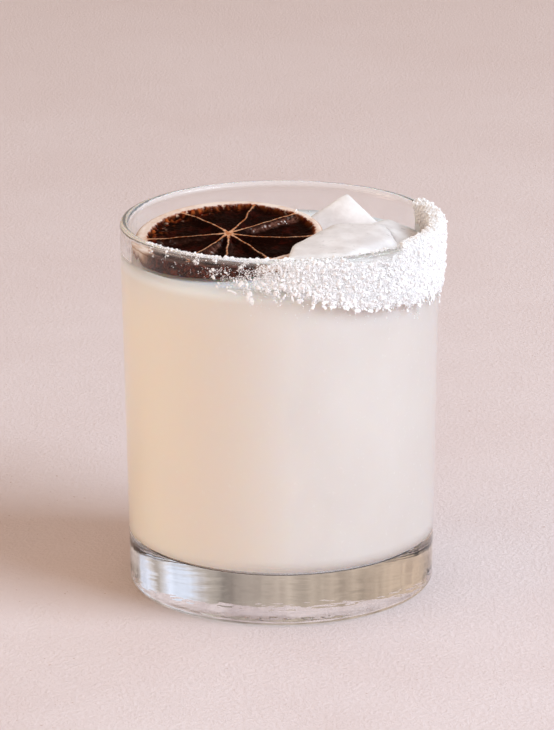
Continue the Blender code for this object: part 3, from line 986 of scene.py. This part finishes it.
draw = random.Random(salt["seed"])
coarseSalt = saltMaterial()
tiny = crystalShapes(24, 4, draw)
simple = crystalShapes(24, 6, draw)
chipped = crystalShapes(20, 12, draw)
dustPlaces = saltPlaces(salt["dustCount"], 0.16, 0.40, 0.6, draw, 0.7, -128.0, -30.0)
finePlaces = saltPlaces(salt["fineCount"], 0.20, 0.55, 0.6, draw, 0.55)
coarsePlaces = saltPlaces(salt["coarseCount"], 0.38, 1.05, 0.25, draw, 0.5)
coarsePlaces += flakePlaces(draw)
coarsePlaces += orangeCrystals(draw)
dustMesh = scatterMesh("saltDust", tiny, dustPlaces, draw)
fineMesh = scatterMesh("fineSalt", simple, finePlaces, draw)
coarseMesh = scatterMesh("coarseSalt", chipped, coarsePlaces, draw)
addPiece("packed_salt", crustMesh(), coarseSalt, ["salt_rim"])
addPiece("salt_dust", dustMesh, coarseSalt, ["salt_rim"])
addPiece("fine_salt", fineMesh, coarseSalt, ["salt_rim"])
addPiece("coarse_salt", coarseMesh, coarseSalt, ["salt_rim"])
print("rim salted")


# foam and bubbles on the drink

foam = {
    "wallCount": 900,
    "strayCount": 260,
    "strayArc": (0.5 * math.pi, 1.3 * math.pi),
    "smallest": 0.12,
    "largest": 0.55,
    "seed": 5,
}


def bubbleShape():
    bm = bmesh.new()
    bmesh.ops.create_icosphere(bm, subdivisions=2, radius=0.5)
    points = np.array([v.co for v in bm.verts])
    faces = np.array([[v.index for v in face.verts] for face in bm.faces])
    bm.free()
    return [(points, faces)]


def bubblePlaces(draw):
    places = []
    wall = innerRadius(drink["level"])
    for number in range(foam["wallCount"] + foam["strayCount"]):
        byWall = number < foam["wallCount"]
        angle = draw.uniform(0.0, 2.0 * math.pi) if byWall else draw.uniform(*foam["strayArc"])
        size = mix(foam["smallest"], foam["largest"], draw.random() ** 2.5) * mm
        inward = abs(draw.gauss(0.0, 0.7)) * mm if byWall else draw.uniform(1.0, 12.0) * mm
        radius = wall - inward - 0.5 * size
        height = drink["level"] + meniscusClimb(wall - radius)
        centre = Vector((radius * math.cos(angle), radius * math.sin(angle), height))
        places.append((centre, [size] * 3, Euler((0.0, 0.0, angle))))
    return places


bubbleDraw = random.Random(foam["seed"])
bubbles = scatterMesh("bubbles", bubbleShape(), bubblePlaces(bubbleDraw), bubbleDraw)
bubbles.shade_smooth()
addPiece("foam_bubbles", bubbles, frothy)
print("foam added")


# floor and light

stageLook = {
    "floorSize": 6.0,
    "floorDrop": 0.15 * mm,
    "tone": srgb(232, 218, 218),
    "darker": srgb(223, 205, 203),
    # painted shade: the far floor is painted darker and warmer
    "paintedFarShade": srgb(229, 210, 206),
    "far": (-0.08, 1.1),     # the floor is painted darker towards the back, painted shade, between these y
    "speckTone": srgb(170, 124, 100),
    "warmSide": srgb(255, 223, 192),
    "coolSide": srgb(255, 240, 228),
    "worldStrength": 0.58,
    "frontShare": 1.42,
    "paneTone": srgb(230, 236, 252),
    "paneStrength": 0.5,
    "paneTurns": (34.0, 58.0),
    "paneRise": 26.0,
    "paneHeight": 0.55,      # below 1 the panes are taller than wide
    # name, azimuth, elevation, distance, size, power and colour
    "lamps": (("window", -24.0, 34.0, 1.9, (1.2, 0.75), 45.0, (0.70, 0.82, 0.94)),
              ("warmFill", 196.0, 8.0, 1.2, (0.9, 0.6), 6.0, srgb(255, 238, 224))),
}


def floorMaterial():
    material, tree, shader = newMaterial("palePlaster")
    spot = objectSpot(tree)
    wide = noiseField(tree, spot, 9.0, 4.0, 0.6)
    body = blended(tree, ranged(tree, wide, 0.3, 0.7), stageLook["tone"], stageLook["darker"])
    parts = addNode(tree, "ShaderNodeSeparateXYZ")
    tree.links.new(spot, parts.inputs[0])
    # painted shade towards the back of the floor
    far = ranged(tree, parts.outputs["Y"], *stageLook["far"])
    body = blended(tree, far, body, stageLook["paintedFarShade"])
    shader.inputs["Roughness"].default_value = 0.8
    # a few brown specks
    grains = noiseField(tree, spot, 700.0, 2.0, 0.5)
    body = blended(tree, ranged(tree, grains, 0.72, 0.77, 0.0, 0.7), body, stageLook["speckTone"])
    tree.links.new(body, shader.inputs["Base Color"])
    # plaster grain
    trowel = noiseField(tree, spot, 760.0, 5.0, 0.65)
    crests = ranged(tree, trowel, 0.42, 0.70)
    addBump(tree, shader, crests, 0.4, 0.5 * mm)
    return material


def addFloor():
    size = stageLook["floorSize"] / 2
    mesh = bpy.data.meshes.new("floor")
    corners = [(-size, -size, 0.0), (size, -size, 0.0), (size, size, 0.0), (-size, size, 0.0)]
    mesh.from_pydata(corners, [], [(0, 1, 2, 3)])
    mesh.materials.append(floorMaterial())
    floor = bpy.data.objects.new("floor", mesh)
    floor.location.z = -stageLook["floorDrop"]
    bpy.context.scene.collection.objects.link(floor)


def addLamp(name, azimuth, elevation, distance, size, power, colour):
    # azimuth is counted from +X; the lamp looks at the drink
    a, e = math.radians(azimuth), math.radians(elevation)
    aim = Vector((0.0, 0.0, 50 * mm))
    away = Vector((math.cos(a) * math.cos(e), math.sin(a) * math.cos(e), math.sin(e)))
    data = bpy.data.lights.new(name, "AREA")
    data.shape = "RECTANGLE"
    data.size, data.size_y = size
    data.energy = power
    data.color = colour[:3]
    lamp = bpy.data.objects.new(name, data)
    facing = away.to_track_quat("Z", "Y").to_matrix().to_4x4()
    lamp.matrix_world = Matrix.Translation(aim + away * distance) @ facing
    bpy.context.scene.collection.objects.link(lamp)


def addWorld():
    world = bpy.data.worlds.new("softRoom")
    world.use_nodes = True
    tree = world.node_tree
    spot = addNode(tree, "ShaderNodeTexCoord").outputs["Generated"]
    parts = addNode(tree, "ShaderNodeSeparateXYZ")
    tree.links.new(spot, parts.inputs[0])
    sideways = ranged(tree, parts.outputs["X"], -0.8, 0.4)
    tone = blended(tree, sideways, stageLook["warmSide"], stageLook["coolSide"])
    # darker low down at the back and overhead, with upright streaks as of a furnished room
    low = ranged(tree, parts.outputs["Z"], 0.22, 0.50)
    back = ranged(tree, parts.outputs["Y"], 0.55, 0.95, 1.0, 0.75)
    darkBack = addNode(tree, "ShaderNodeMath", operation="MAXIMUM")
    tree.links.new(low, darkBack.inputs[0])
    tree.links.new(back, darkBack.inputs[1])
    high = ranged(tree, parts.outputs["Z"], 0.5, 1.0, 1.0, 0.7)
    room = noiseField(tree, spot, 6.5, 2.0, 0.6, (1.0, 1.0, 0.10))
    light = times(tree, darkBack.outputs[0], high)
    light = times(tree, light, ranged(tree, room, 0.32, 0.68, 0.62, 1.35))
    light = times(tree, light, stageLook["worldStrength"])
    # a little brighter towards the viewer
    front = ranged(tree, parts.outputs["Y"], -0.2, -0.9, 1.0, stageLook["frontShare"])
    light = times(tree, light, front)
    # two tall panes behind, to the right
    squash = stageLook["paneHeight"]
    for azimuth in stageLook["paneTurns"]:
        turn, rise = math.radians(azimuth), math.radians(stageLook["paneRise"])
        level = math.cos(rise)
        pane = (math.cos(turn) * level, math.sin(turn) * level, math.sin(rise) * squash)
        toward = addNode(tree, "ShaderNodeVectorMath", operation="DISTANCE")
        flat = addNode(tree, "ShaderNodeVectorMath", {1: (1.0, 1.0, squash)}, operation="MULTIPLY")
        tree.links.new(spot, flat.inputs[0])
        tree.links.new(flat.outputs[0], toward.inputs[0])
        toward.inputs[1].default_value = pane
        near = ranged(tree, toward.outputs["Value"], 0.20, 0.10)
        tone = blended(tree, near, tone, stageLook["paneTone"])
        total = addNode(tree, "ShaderNodeMath", operation="ADD")
        tree.links.new(light, total.inputs[0])
        tree.links.new(times(tree, near, stageLook["paneStrength"]), total.inputs[1])
        light = total.outputs[0]
    tree.links.new(tone, tree.nodes["Background"].inputs["Color"])
    tree.links.new(light, tree.nodes["Background"].inputs["Strength"])
    bpy.context.scene.world = world


addFloor()
addWorld()
for lampValues in stageLook["lamps"]:
    addLamp(*lampValues)
bpy.context.scene.view_settings.view_transform = "Standard"
print("stage lit")
